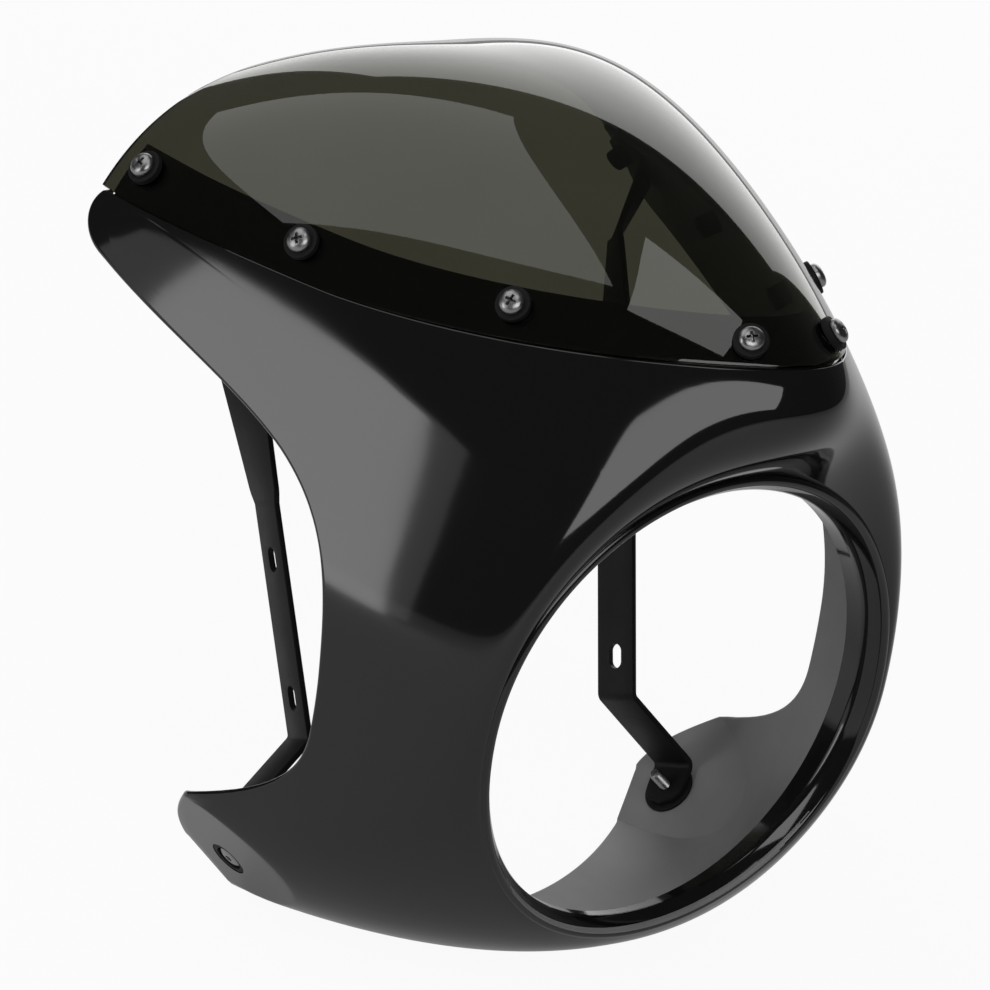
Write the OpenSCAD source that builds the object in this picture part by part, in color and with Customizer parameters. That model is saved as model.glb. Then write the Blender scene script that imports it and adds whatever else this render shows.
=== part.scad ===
// Headlight cowl: a moulded fairing with a round headlight opening, a bubble screen screwed on
// above it through rubber well nuts, and two slotted steel straps bolted to its lower ears.
// x = 0 is the middle, the front faces -Y, up is +Z, and the headlight axis is x = z = 0.
// y = 0 is the rear edge of the sleeve that the headlight sits in. Millimetres.

/* [Headlight opening] */
// Diameter of the bore that takes the headlight shell
bore_d = 185; // [170:1:200]
// Thickness of the sleeve wall
sleeve_t = 3; // [2:0.5:4]
// Radius of the rounded bead on the lip
bead_r = 2.2; // [1.6:0.1:2.6]
// Width of the lip between the bore and the body surface
lip_w = 7.7; // [7:0.1:10]
// How far the lip stands in front of the sleeve's rear edge at the top
lip_top = 21.8; // [16:0.2:30]
// How far the lip stands in front of the sleeve's rear edge at the sides
lip_side = 17; // [13:0.5:22]
// How far the lip stands in front of the sleeve's rear edge at the bottom
lip_bottom = 9; // [8:0.5:14]

/* [Body form] */
// Wall thickness of the moulding
wall = 3; // [2:0.5:4]
// Length from the sleeve's rear edge to the rear end of the form
body_len = 241.5; // [225:0.5:260]
// Forward pull of the brow above the lip
brow_pull = 49.2; // [40:0.2:60]
// Rise of the brow close to the lip
brow_rise = 58; // [50:0.5:64]
// Forward swell of the nose on the middle line
nose = 34; // [20:0.5:38]
// Control height of the upper screen
screen_h = 162.4; // [156:0.2:170]
// Control height of the crown
crown_h = 261; // [250:1:270]
// Height of the crown at the rear end
rear_h = 173; // [172:0.2:178]
// Half width of the front flank
flank_w = 130; // [126:0.2:133]
// Half width of the waist
waist_w = 150; // [147:0.5:153]
// Half width at the rear end of the horns
horn_w = 168; // [166:0.2:172]
// Depth of the chin below the headlight axis
chin_h = 126.8; // [123:0.2:129]
// Depth of the lower edge below the headlight axis
base_h = 128.6; // [126:0.2:132]

/* [Outline] */
// Height of the seam along the sides
seam_h = 129.8; // [127:0.2:131]
// Rise of the seam towards the nose
seam_rise = 20; // [12:0.5:26]
// Height of the joggled flange under the screen
flange_h = 19.5; // [15:0.5:24]
// Rear position of the side cut-outs at their deepest
waist_y = 50; // [46:0.5:56]
// Rear position of the ear tips
ear_y = 124; // [118:0.5:128]
// Rear position of the chin edge on the middle line
chin_y = 62; // [50:1:70]
// Rear position of the screen's free edge above the horns
free_y = 225; // [220:0.5:230]

/* [Screen] */
// Thickness of the screen
screen_t = 2.5; // [2:0.1:3.5]
// Width of the groove between the cowl and the screen's lower edge
seam_gap = 1.2; // [0.6:0.1:2]

/* [Fasteners] */
// Height of the screws above the seam
screw_up = 12; // [9:0.5:14]
// Nominal diameter of the screen screws
screw_d = 5; // [4:0.5:6]
// Diameter of the screw heads
head_d = 10; // [8:0.5:12]
// Diameter of the well nuts' outer flange
washer_d = 14; // [12:0.5:18]
// Thickness of the well nuts' outer flange
washer_t = 3; // [2:0.25:4]
// Diameter of the well nuts' body
nut_d = 9.4; // [8:0.2:11]

/* [Ears] */
// Diameter of the hole in each ear
ear_hole_d = 16; // [13:0.5:18]
// Diameter of the bolt heads in the ears
bolt_head_d = 11; // [9:0.5:12]

/* [Straps] */
// Width of the slotted part of the straps
strap_w = 18; // [14:0.5:22]
// Thickness of the straps
strap_t = 2.5; // [2:0.5:4]
// Width of the straps' upper part
strap_top_w = 23; // [18:0.5:26]
// Width of the adjusting slots
slot_w = 6; // [5:0.5:8]
// Length of the adjusting slots
slot_l = 10; // [8:0.5:16]
// Distance between the two slots of a strap
slot_pitch = 55; // [40:1:65]

/* [Hidden] */
SCREWS = 4;

bore_r = bore_d / 2;
ring_r = bore_r + lip_w;
clear = 0.1;
flange_in = screen_t + clear;

// Control values of the three profiles, from the lip to the rear end: radius, then y
top_r = [ring_r, ring_r + brow_rise, screen_h, crown_h, rear_h];
top_y = [-lip_top, -lip_top - brow_pull, 38, 130, body_len];
side_r = [ring_r, ring_r + 12.6, flank_w, waist_w, horn_w];
side_y = [-lip_side, -lip_side - 1.2, 47, 112, body_len];
base_r = [ring_r, ring_r + 11.2, chin_h, base_h, base_h];
base_y = [-lip_bottom, -lip_bottom + 8.8, 10.7, 140, body_len];
top_p = [2, 2, 2, 2, 2.8];
// Slackness of the shoulders between the middle line and the sides
slack = 0.04;
base_p = [2, 2, 3.4, 6, 6];

function bez4(c, t) =
  let (u = 1 - t)
  c[0] * u * u * u * u + 4 * c[1] * u * u * u * t + 6 * c[2] * u * u * t * t
  + 4 * c[3] * u * t * t * t + c[4] * t * t * t * t;
function bez3(a, b, c, d, t) =
  let (u = 1 - t) a * u * u * u + 3 * b * u * u * t + 3 * c * u * t * t + d * t * t * t;
function unit(v) = v / norm(v);

// Body surface: a is the angle from +Z towards +X, t runs from the lip (0) to the rear end (1)
function surf(a, t) =
  let (
    c = cos(a),
    s = abs(sin(a)),
    up = c >= 0,
    p = bez4(up ? top_p : base_p, t),
    h = bez4(up ? top_r : base_r, t),
    w = bez4(side_r, t),
    full = 1 / pow(pow(s / w, p) + pow(abs(c) / h, p), 1 / p),
    r = full * (up ? 1 - slack * 4 * t * (1 - t) * pow(2 * s * c, 2) : 1),
    ys = bez4(side_y, t),
    keel = up ? nose * 4 * t * (1 - t) * pow(c, 25) : 0,
    y = ys + (bez4(up ? top_y : base_y, t) - ys) * pow(abs(c), up ? 1.9 : 2) - keel
  )
  [ear_cut(r, a, y) * sin(a), y, ear_cut(r, a, y) * c];

// The flat pads of the ears cut the lower corners of the form
function pad_f(a) = 0.766 * abs(sin(a)) - 0.643 * cos(a);
function ear_cut(r, a, y) =
  (cos(a) < 0 && y > 50) ? min(r, (pad_d + pad_k * y) / max(0.3, pad_f(a))) : r;
pad_d = 145.6;
pad_k = 0.09;

// Unit normal of the surface, pointing out
function normal(a, t) =
  let (
    e = 0.02,
    t0 = max(0, t - e / 4),
    t1 = min(1, t + e / 4),
    n = cross(surf(a + 0.3, t) - surf(a - 0.3, t), surf(a, t1) - surf(a, t0))
  )
  unit(n);

// Outline of the moulding, seen from the side
function seam_z(y) = seam_h + seam_rise * pow(max(0, (115 - y) / 143), 1.6);
horn_y = free_y - 1;
cut_line = concat(
  [for (i = [0 : 5]) let (u = i / 6) [bez3(-104, -96, -89, -74, u), bez3(ear_y, ear_y, ear_y - 4, ear_y - 21, u)]],
  [for (i = [0 : 7]) let (u = i / 8) [bez3(-74, -58, -45, -25, u), bez3(ear_y - 21, waist_y + 18, waist_y, waist_y, u)]],
  [for (i = [0 : 11]) let (u = i / 12) [bez3(-25, 78, 78, 110, u), bez3(waist_y, waist_y, 110, horn_y - 15, u)]],
  [for (i = [0 : 6]) let (u = i / 6) [bez3(110, 114, 126, seam_h + 2, u), bez3(horn_y - 15, horn_y - 2, horn_y + 6, horn_y - 3, u)]]
);
function chin_edge(x) = min(ear_y, chin_y + 45 * pow(abs(x) / 95, 1.45));

// Positive outside the moulding's outline
function beyond(p) =
  max(p[2] - seam_z(p[1]), p[1] - (p[2] < -104 ? chin_edge(p[0]) : lookup(p[2], cut_line)));
function above(p, dz) = p[2] - seam_z(p[1]) - dz;
function behind(p, d) = p[1] + d - free_y - 0.18 * (p[2] - seam_h);

// First t at which the outline is reached, by steps and then by halving
function halve(a, lo, hi, n) =
  n == 0 ? (lo + hi) / 2 :
  let (m = (lo + hi) / 2) beyond(surf(a, m)) > 0 ? halve(a, lo, m, n - 1) : halve(a, m, hi, n - 1);
function edge_t(a, t = 0.1) =
  t >= 1 ? 1 : beyond(surf(a, t)) > 0 ? halve(a, t - 0.03, t, 11) : edge_t(a, t + 0.03);
function halve_up(a, dz, lo, hi, n) =
  n == 0 ? (lo + hi) / 2 :
  let (m = (lo + hi) / 2)
  above(surf(a, m), dz) > 0 ? halve_up(a, dz, lo, m, n - 1) : halve_up(a, dz, m, hi, n - 1);
function up_t(a, dz, t = 0.1) =
  t >= 1 ? 1 : above(surf(a, t), dz) > 0 ? halve_up(a, dz, t - 0.03, t, 11) : up_t(a, dz, t + 0.03);
// t at which the surface comes within d of the screen's free edge
function halve_back(a, d, lo, hi, n) =
  n == 0 ? (lo + hi) / 2 :
  let (m = (lo + hi) / 2)
  behind(surf(a, m), d) > 0 ? halve_back(a, d, lo, m, n - 1) : halve_back(a, d, m, hi, n - 1);
function back_t(a, d) = behind(surf(a, 1), d) < 0 ? 1 : halve_back(a, d, 0.4, 1, 12);

// Angle at which a point dz above the seam lies at a given y
function angle_at(y, dz, lo = 0, hi = flange_a, n = 11) =
  n == 0 ? (lo + hi) / 2 :
  let (m = (lo + hi) / 2, q = surf(m, up_t(m, dz)))
  q[1] > y ? angle_at(y, dz, lo, m, n - 1) : angle_at(y, dz, m, hi, n - 1);

// Angles of the columns of one half, closer where the outline turns
flange_a = 46.4;
half_a = concat(
  [for (a = [4 : 4 : 32]) a], [for (a = [34 : 2 : 42]) a], [for (a = [43 : 1 : 46]) a], [flange_a],
  [for (a = [48 : 1 : 55]) a], [57, 59, 61], [for (a = [65 : 5 : 120]) a],
  [for (a = [122.5 : 2.5 : 145]) a], [for (a = [150 : 6 : 174]) a]
);
col_a = concat([for (i = [len(half_a) - 1 : -1 : 0]) -half_a[i]], [0], half_a, [180]);
flange_cols = [for (i = [0 : len(col_a) - 1]) if (abs(col_a[i]) <= flange_a) i];
first_col = min(flange_cols);
last_col = max(flange_cols);

ROWS = 12;
BEAD = 5;

function off(a, t, d) = surf(a, t) + d * normal(a, t);
function mm_t(a, t, d) = d / norm(surf(a, t) - surf(a, t - 0.02)) * 0.02;
function polar(a, r, y) = [r * sin(a), y, r * cos(a)];

// One closed section: outer surface from the edge to the lip, bead, then inner surface back
function section(a, te) =
  let (y0 = surf(a, 0)[1], fl = abs(a) <= flange_a)
  concat(
    [for (k = [ROWS : -1 : 0]) surf(a, te * row_u(k))],
    [for (k = [1 : BEAD]) let (q = k * 180 / BEAD)
      polar(a, lip_r + bead_r * cos(q), y0 + bead_y - bead_r * sin(q))],
    [polar(a, bore_r - 1.5, y0 + bead_y + lip_r - bead_r - bore_r + 1.5), polar(a, bore_r - 1.5, 0)],
    [polar(a, bore_r + sleeve_t, 0), polar(a, bore_r + sleeve_t, (y0 + collar) / 2)],
    [polar(a, bore_r + sleeve_t, y0 + collar)],
    [for (k = [0 : ROWS - 1]) off(a, te * row_u(k), -wall)],
    [off(a, fl ? te - mm_t(a, te, wall) : te, -wall)]
  );
function row_u(k) = pow(k / ROWS, 1.15);
LOOP = 2 * (ROWS + 1) + BEAD + 5;

// Bead: its middle lies on the lip circle, and a short chamfer leads on into the bore
lip_r = ring_r - bead_r + 0.2;
bead_y = 1;
collar = 4.5;

// Rows of the flange: outer side from the seam up, then inner side back down
FL = 7;
FR = 2 * FL;
function flange_rows(a, te) =
  let (tf = max(te + 0.004, min(up_t(a, flange_h), back_t(a, 5))), dt = (tf - te) / (FL - 1))
  concat(
    [for (k = [0 : FL - 1]) off(a, te + k * dt, -flange_in)],
    [for (k = [FL - 1 : -1 : 1]) off(a, te + k * dt, -flange_in - wall)],
    [off(a, te - mm_t(a, te, wall * 0.7), -flange_in - wall)]
  );

module shell_form() {
  edges = [for (a = col_a) edge_t(a)];
  n = len(col_a);
  base = n * LOOP;
  pts = concat(
    [for (i = [0 : n - 1]) each section(col_a[i], edges[i])],
    [for (i = flange_cols) each flange_rows(col_a[i], edges[i])]
  );
  body = [for (i = [0 : n - 1], j = [0 : LOOP - 2])
    let (m = (i + 1) % n) each quad(m * LOOP + j, i * LOOP + j, i * LOOP + j + 1, m * LOOP + j + 1)];
  rim = [for (i = [0 : n - 1])
    if (i < first_col || i >= last_col)
      let (m = (i + 1) % n) each quad(m * LOOP + LOOP - 1, i * LOOP + LOOP - 1, i * LOOP, m * LOOP)];
  lap = [for (i = [first_col : last_col - 1], j = [0 : FR])
    let (p = flange_ring(i, base), q = flange_ring(i + 1, base)) each quad(q[j + 1], p[j + 1], p[j], q[j])];
  e0 = flange_ring(first_col, base);
  e1 = flange_ring(last_col, base);
  polyhedron(pts, concat(body, rim, lap, fan(e0, 0), fan(e1, 1)), convexity = 8);
}
function quad(a, b, c, d) = [[a, c, b], [a, d, c]];
function flange_ring(i, base) =
  concat([i * LOOP], [for (k = [0 : FR - 1]) base + (i - first_col) * FR + k], [i * LOOP + LOOP - 1]);
// End caps of the flange, as strips between its outer and inner rows
function fan(e, flip) =
  [for (k = [0 : FL - 1], f = [[k, k + 1, FR - k], [k, FR - k, FR + 1 - k]])
    flip ? [e[f[0]], e[f[1]], e[f[2]]] : [e[f[0]], e[f[2]], e[f[1]]]];

// Frame with its Z axis along the surface normal
module on_surface(a, t, d) {
  p = off(a, t, d);
  n = normal(a, t);
  ex = unit(cross([0, 1, 0], n));
  ey = cross(n, ex);
  multmatrix([
    [ex[0], ey[0], n[0], p[0]],
    [ex[1], ey[1], n[1], p[1]],
    [ex[2], ey[2], n[2], p[2]]
  ])
    children();
}

// Screw stations: the first pair by its angle at the nose, the others by y
nose_a = 7.2;
screw_y = [46, 131, 210.5];
screw_a = concat([nose_a], [for (y = screw_y) angle_at(y, screw_up)]);
screw_t = [for (a = screw_a) up_t(a, screw_up - (a == nose_a ? 3 : 0))];
function side_of(i) = i > SCREWS ? 1 : -1;
module at_screw(i, d = 0) {
  k = (i - 1) % SCREWS;
  on_surface(side_of(i) * screw_a[k], screw_t[k], d)
    children();
}
module screw_holes(d) {
  for (i = [1 : 2 * SCREWS])
    at_screw(i)
      translate([0, 0, -20])
        cylinder(h = 40, r = d / 2, $fn = 32);
}

// Ear frame: Z along the pad's outward normal, origin in the middle of the ear hole
ear_hole_y = 98;
ear_hole_h = 103;
ear_p = [(pad_d + pad_k * ear_hole_y - 0.643 * ear_hole_h) / 0.766, ear_hole_y, -ear_hole_h];
ear_n = unit([0.766, -pad_k, -0.643]);
ear_u = unit([0, 0, 1] - ear_n[2] * ear_n);
ear_v = cross(ear_u, ear_n);
module at_ear(s) {
  mirror([s < 0 ? 1 : 0, 0, 0])
    multmatrix([
      [ear_v[0], ear_u[0], ear_n[0], ear_p[0]],
      [ear_v[1], ear_u[1], ear_n[1], ear_p[1]],
      [ear_v[2], ear_u[2], ear_n[2], ear_p[2]]
    ])
      children();
}

module cowl_shell() {
  color([0.02, 0.02, 0.02]) {
    difference() {
      shell_form();
      rotate([-90, 0, 0])
        translate([0, 0, -60])
          cylinder(h = 80, r = bore_r, $fn = 72);
      screw_holes(nut_d + 0.4);
      for (s = [-1, 1])
        at_ear(s)
          translate([0, 0, -12])
            cylinder(h = 24, r = ear_hole_d / 2, $fn = 48);
    }
  }
}

// Screen: outer surface a little proud of the body, from the groove to the free edge
proud = 0.2;
screen_a = concat([0], [for (a = half_a) if (a <= 42) a], [43.5, 44.5, 45.2]);
screen_cols = concat([for (i = [len(screen_a) - 1 : -1 : 1]) -screen_a[i]], screen_a);
SR = 15;
module windscreen() {
  n = len(screen_cols);
  loop = 2 * (SR + 1);
  pts = [for (a = screen_cols)
    let (t0 = edge_t(a), ts = t0 + mm_t(a, t0, seam_gap), t1 = max(ts + 0.004, back_t(a, 0)))
    each concat(
      [for (k = [0 : SR]) off(a, ts + (t1 - ts) * k / SR, proud)],
      [for (k = [SR : -1 : 0]) off(a, ts + (t1 - ts) * k / SR, proud - screen_t)]
    )];
  skin = [for (i = [0 : n - 2], j = [0 : loop - 1])
    let (m = i + 1, q = (j + 1) % loop) each quad(m * loop + q, i * loop + q, i * loop + j, m * loop + j)];
  ends = [for (i = [0, n - 1], k = [0 : SR - 1])
    let (b = i * loop, e = [b + k, b + k + 1, b + loop - 2 - k, b + loop - 1 - k])
    each i == 0 ? quad(e[0], e[1], e[2], e[3]) : quad(e[3], e[2], e[1], e[0])];
  color([0.12, 0.12, 0.1, 0.7]) {
    difference() {
      polyhedron(pts, concat(skin, ends), convexity = 6);
      screw_holes(nut_d + 0.4);
    }
  }
}

// Rubber well nut: outer flange on the screen, body through both holes, hollow for the screw
nut_l = 15;
module well_nut(i) {
  color([0.05, 0.05, 0.05]) {
    at_screw(i, proud)
      rotate_extrude($fn = 32)
        polygon([
          [screw_d / 2 + 0.05, washer_t],
          [screw_d / 2 + 0.05, -nut_l],
          [nut_d / 2 - 0.6, -nut_l],
          [nut_d / 2, -nut_l + 0.8],
          [nut_d / 2, 0],
          [washer_d / 2, 0],
          [washer_d / 2, washer_t - 0.6],
          [washer_d / 2 - 0.6, washer_t]
        ]);
  }
}

// Pan-head screw with a cross recess
head_h = 3.4;
module cross_recess() {
  for (q = [0, 90])
    rotate([0, 0, q])
      translate([-2.4, -0.55, head_h - 1.9])
        cube([4.8, 1.1, 3]);
}
module screen_screw(i) {
  color([0.6, 0.6, 0.62]) {
    at_screw(i, proud + washer_t)
      rotate([0, 0, 20 + 37 * i])
        difference() {
          rotate_extrude($fn = 32)
            polygon([
              [0, -washer_t - nut_l + 3],
              [screw_d / 2 - 0.5, -washer_t - nut_l + 3],
              [screw_d / 2, -washer_t - nut_l + 3.6],
              [screw_d / 2, 0],
              [head_d / 2, 0],
              [head_d / 2, head_h * 0.45],
              [head_d * 0.42, head_h * 0.78],
              [head_d * 0.27, head_h * 0.96],
              [0, head_h]
            ]);
          cross_recess();
        }
  }
}

// Rubber grommet in each ear, with a seat for the bolt head inside the hole
seat_t = 1.2;
lip_t = 1.5;
module ear_grommet(s) {
  color([0.04, 0.04, 0.04]) {
    at_ear(s)
      rotate_extrude($fn = 48)
        polygon([
          [screw_d / 2 + 0.2, -wall - lip_t],
          [ear_hole_d / 2 + 3, -wall - lip_t],
          [ear_hole_d / 2 + 3, -wall - 0.1],
          [ear_hole_d / 2 - 0.1, -wall - 0.1],
          [ear_hole_d / 2 - 0.1, -0.4],
          [bolt_head_d / 2 + 0.3, -0.4],
          [bolt_head_d / 2 + 0.3, -wall - lip_t + seat_t],
          [screw_d / 2 + 0.2, -wall - lip_t + seat_t]
        ]);
  }
}
bolt_l = 12.5;
module ear_bolt(s) {
  color([0.7, 0.7, 0.7]) {
    at_ear(s)
      translate([0, 0, -wall - lip_t + seat_t])
        rotate_extrude($fn = 32)
          polygon([
            [0, -bolt_l],
            [screw_d / 2 - 0.5, -bolt_l],
            [screw_d / 2, -bolt_l + 0.6],
            [screw_d / 2, 0],
            [bolt_head_d / 2, 0],
            [bolt_head_d / 2, 1.6],
            [bolt_head_d * 0.4, 2.6],
            [0, 3.1]
          ]);
  }
}

// Straps: the slotted run, the diagonal and the ear tab are one folded profile
rake = unit([0.087, 0.4, 0.91]);
rake_top = unit([0.12, 0.43, 0.89]);
ear_in = ear_p - (wall + lip_t + strap_t / 2) * ear_n;
fold_v = unit(cross(rake, ear_n));
face_n = cross(fold_v, rake);
slot_q = [81.4, 122, -48];
slot_p = slot_q - ((slot_q - ear_in) * fold_v) * fold_v;
low_l = 16.5;
mid_l = slot_pitch + 22;
tab_l = 10.8;
bend_r = 3;
mid_p = slot_p + mid_l * rake;
top_p3 = mid_p + 94 * rake_top;
tip_n = normal(screw_a[3], screw_t[3]);
tip_in = flange_in + wall + 0.3;
tip_p = off(screw_a[3], screw_t[3], -tip_in - strap_t / 2);
function across(n, d) = unit(n - (n * d) * d);
tip_b = tip_p + 13 * across(top_p3 - tip_p, tip_n);
tip_v = unit(cross(tip_n, tip_b - tip_p));

// Middle line of the fold in its own plane: along the slotted run, then across its face
function in_fold(p) = [(p - slot_p) * rake, (p - slot_p) * face_n];
fold_low = [-low_l, 0];
ear_d = cross(ear_n, fold_v);
fold_tab = in_fold(ear_in + tab_l * ear_d);
fold_end = in_fold(ear_in - (strap_w / 2 + 1) * ear_d);
function bend_pts(a, b, c) =
  let (
    d1 = unit(b - a),
    d2 = unit(c - b),
    turn = acos(d1 * d2),
    way = sign(d1[0] * d2[1] - d1[1] * d2[0]),
    h = atan2(d1[1], d1[0]),
    o = b - bend_r * tan(turn / 2) * d1 + way * bend_r * [-d1[1], d1[0]]
  )
  [for (k = [0 : 6]) let (q = h + way * turn * k / 6) [o + way * bend_r * [sin(q), -cos(q)], q]];
fold_mid = concat(
  [[[mid_l, 0], 180]],
  bend_pts([mid_l, 0], fold_low, fold_tab),
  bend_pts(fold_low, fold_tab, fold_end),
  [[fold_end, 0]]
);
FN = len(fold_mid);
function fold_side(d) =
  [for (i = [0 : FN - 1])
    let (q = i == FN - 1 ? fold_mid[FN - 2][1] : fold_mid[i][1]) fold_mid[i][0] + d * [-sin(q), cos(q)]];
module folded() {
  side = fold_side(-strap_t / 2);
  difference() {
    multmatrix([
      [rake[0], face_n[0], fold_v[0], slot_p[0]],
      [rake[1], face_n[1], fold_v[1], slot_p[1]],
      [rake[2], face_n[2], fold_v[2], slot_p[2]]
    ])
      linear_extrude(strap_w, center = true)
        polygon(concat(side, [for (i = [FN - 1 : -1 : 0]) fold_side(strap_t / 2)[i]]));
    multmatrix([
      [fold_v[0], ear_d[0], ear_n[0], ear_in[0]],
      [fold_v[1], ear_d[1], ear_n[1], ear_in[1]],
      [fold_v[2], ear_d[2], ear_n[2], ear_in[2]]
    ])
      difference() {
        translate([-strap_w, -strap_w, -strap_t])
          cube([2 * strap_w, strap_w, 2 * strap_t]);
        cylinder(h = 4 * strap_t, r = strap_w / 2 + 0.05, center = true, $fn = 48);
      }
  }
}

// One run from p to q: width w, face normal close to n, with holes drilled by its children
module run(p, q, n, w0, w1) {
  d = unit(q - p);
  nn = across(n, d);
  wv = cross(nn, d);
  multmatrix([
    [wv[0], d[0], nn[0], p[0]],
    [wv[1], d[1], nn[1], p[1]],
    [wv[2], d[2], nn[2], p[2]]
  ])
    translate([0, 0, -strap_t / 2])
      linear_extrude(strap_t)
        polygon([[-w0 / 2, 0], [w0 / 2, 0], [w1 / 2, norm(q - p)], [-w1 / 2, norm(q - p)]]);
}
module bend(p, d, w) {
  v = unit(d);
  ex = unit(cross(v, [0, 0, 1]));
  ey = cross(v, ex);
  multmatrix([
    [ex[0], ey[0], v[0], p[0]],
    [ex[1], ey[1], v[1], p[1]],
    [ex[2], ey[2], v[2], p[2]]
  ])
    translate([0, 0, 0.5 - w / 2])
      cylinder(h = w - 1, r = strap_t / 2 + 0.3, $fn = 24);
}
module slot(p, d, n) {
  v = unit(d);
  nn = across(n, v);
  wv = cross(nn, v);
  multmatrix([
    [wv[0], v[0], nn[0], p[0]],
    [wv[1], v[1], nn[1], p[1]],
    [wv[2], v[2], nn[2], p[2]]
  ])
    translate([0, 0, -6])
      linear_extrude(12) {
        square([slot_w, slot_l - slot_w], center = true);
        for (q = [-1, 1])
          translate([0, q * (slot_l - slot_w) / 2])
            circle(r = slot_w / 2, $fn = 24);
      }
}
module strap_form() {
  difference() {
    union() {
      folded();
      run(mid_p, top_p3, face_n, strap_w, strap_top_w);
      run(top_p3, tip_b, cross(tip_v, unit(tip_b - top_p3)), strap_top_w, strap_w);
      bend(top_p3, tip_v, strap_top_w);
      bend(tip_b, tip_v, strap_w);
      run(tip_p, tip_b, tip_n, strap_w, strap_w);
      on_surface(screw_a[3], screw_t[3], -tip_in - strap_t)
        cylinder(h = strap_t, r = strap_w / 2 + 0.05, $fn = 48);
    }
    for (k = [0, 1])
      slot(slot_p + k * slot_pitch * rake, rake, face_n);
    at_ear(1)
      translate([0, 0, -20])
        cylinder(h = 20, r = screw_d / 2 + 0.05, $fn = 32);
    on_surface(screw_a[3], screw_t[3], -20)
      cylinder(h = 30, r = nut_d / 2 + 0.2, $fn = 32);
  }
}
module bracket(s) {
  color([0.07, 0.07, 0.07]) {
    mirror([s < 0 ? 1 : 0, 0, 0])
      strap_form();
  }
}

cowl_shell();
windscreen();
bracket(1);  // bracket_left
bracket(-1);  // bracket_right
ear_grommet(1);  // ear_grommet_left
ear_grommet(-1);  // ear_grommet_right
ear_bolt(1);  // ear_bolt_left
ear_bolt(-1);  // ear_bolt_right
for (i = [1 : 2 * SCREWS])
  well_nut(i);
for (i = [1 : 2 * SCREWS])
  screen_screw(i);
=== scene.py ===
"""Headlight cowl: the looks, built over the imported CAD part.
Metres outside, millimetres in the shape formulas.
x = 0 is the middle, the front faces -Y, up is +Z."""

import math

import bmesh
import bpy
import numpy as np
from mathutils import Matrix, Vector


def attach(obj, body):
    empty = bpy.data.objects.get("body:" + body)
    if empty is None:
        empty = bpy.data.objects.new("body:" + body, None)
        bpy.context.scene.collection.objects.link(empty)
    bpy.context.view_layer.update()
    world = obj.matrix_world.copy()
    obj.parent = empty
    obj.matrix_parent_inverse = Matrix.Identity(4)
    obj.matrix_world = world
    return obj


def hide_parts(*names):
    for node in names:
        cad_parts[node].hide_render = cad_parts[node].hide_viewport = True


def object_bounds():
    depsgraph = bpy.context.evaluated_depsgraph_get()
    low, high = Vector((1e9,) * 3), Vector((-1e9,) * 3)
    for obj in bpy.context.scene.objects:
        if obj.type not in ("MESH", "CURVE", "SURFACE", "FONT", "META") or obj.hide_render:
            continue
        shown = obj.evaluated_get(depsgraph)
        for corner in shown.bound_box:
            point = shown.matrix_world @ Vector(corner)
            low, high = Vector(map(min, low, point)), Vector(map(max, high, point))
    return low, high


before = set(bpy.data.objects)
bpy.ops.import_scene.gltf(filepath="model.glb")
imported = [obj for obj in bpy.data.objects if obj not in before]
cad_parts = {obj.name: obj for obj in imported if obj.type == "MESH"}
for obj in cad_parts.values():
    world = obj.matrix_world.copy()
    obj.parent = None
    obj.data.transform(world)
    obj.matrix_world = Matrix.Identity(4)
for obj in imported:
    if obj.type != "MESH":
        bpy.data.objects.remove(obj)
CAD_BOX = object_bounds()
SCENE = bpy.context.scene

# The same sizes as the CAD part, in millimetres
BORE_R, SLEEVE_T, BEAD_R, LIP_W = 92.5, 3.0, 2.2, 7.7
RING_R = BORE_R + LIP_W
WALL, SCREEN_T, CLEAR, PROUD = 3.0, 2.5, 0.1, 0.2
FLANGE_IN = SCREEN_T + CLEAR
TOP_R = [RING_R, RING_R + 58, 162.4, 261, 173]
TOP_Y = [-21.8, -71, 38, 130, 241.5]
SIDE_R = [RING_R, RING_R + 12.6, 130, 150, 168]
SIDE_Y = [-17, -18.2, 47, 112, 241.5]
BASE_R = [RING_R, RING_R + 11.2, 126.8, 128.6, 128.6]
BASE_Y = [-9, -0.2, 10.7, 140, 241.5]
TOP_P = [2, 2, 2, 2, 2.8]
BASE_P = [2, 2, 3.4, 6, 6]
NOSE, SLACK, SEAM_H, SEAM_RISE, FLANGE_H = 34, 0.04, 129.8, 20, 19.5
WAIST_Y, EAR_Y, CHIN_Y, FREE_Y, SEAM_GAP = 50, 124, 62, 225, 1.2
HORN_Y = FREE_Y - 1
PAD_D, PAD_K = 145.6, 0.09
FLANGE_A = 46.4
SCREW_D, HEAD_D, WASHER_D, WASHER_T, NUT_D = 5, 10, 14, 3, 9.4
EAR_HOLE_D, BOLT_HEAD_D = 16, 11
STRAP_W, STRAP_T, STRAP_TOP_W = 18, 2.5, 23
SLOT_W, SLOT_L, SLOT_PITCH = 6, 10, 55
SEAT_T, LIP_T, BOLT_L, NUT_L = 1.2, 1.5, 12.5, 15
NOSE_A, SCREW_Y, SCREW_UP, NOSE_DOWN = 7.2, (46, 131, 210.5), 12, 3
EAR_HOLE_Y, EAR_HOLE_H, EAR_X, EAR_Z = 98, 103, 0.766, 0.643
LOW_L, TAB_L, DIAGONAL_L, TIP_L, TIP_GAP, BEND_R = 16.5, 10.8, 94, 13, 0.3, 3.2
SCREWS, DRILL_L = 8, 20


def unit(v):
    v = np.asarray(v, float)
    return v / np.linalg.norm(v, axis=-1, keepdims=True)


def bez4(c, t):
    u = 1 - t
    return (c[0] * u**4 + 4 * c[1] * u**3 * t + 6 * c[2] * u**2 * t**2
            + 4 * c[3] * u * t**3 + c[4] * t**4)


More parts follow.
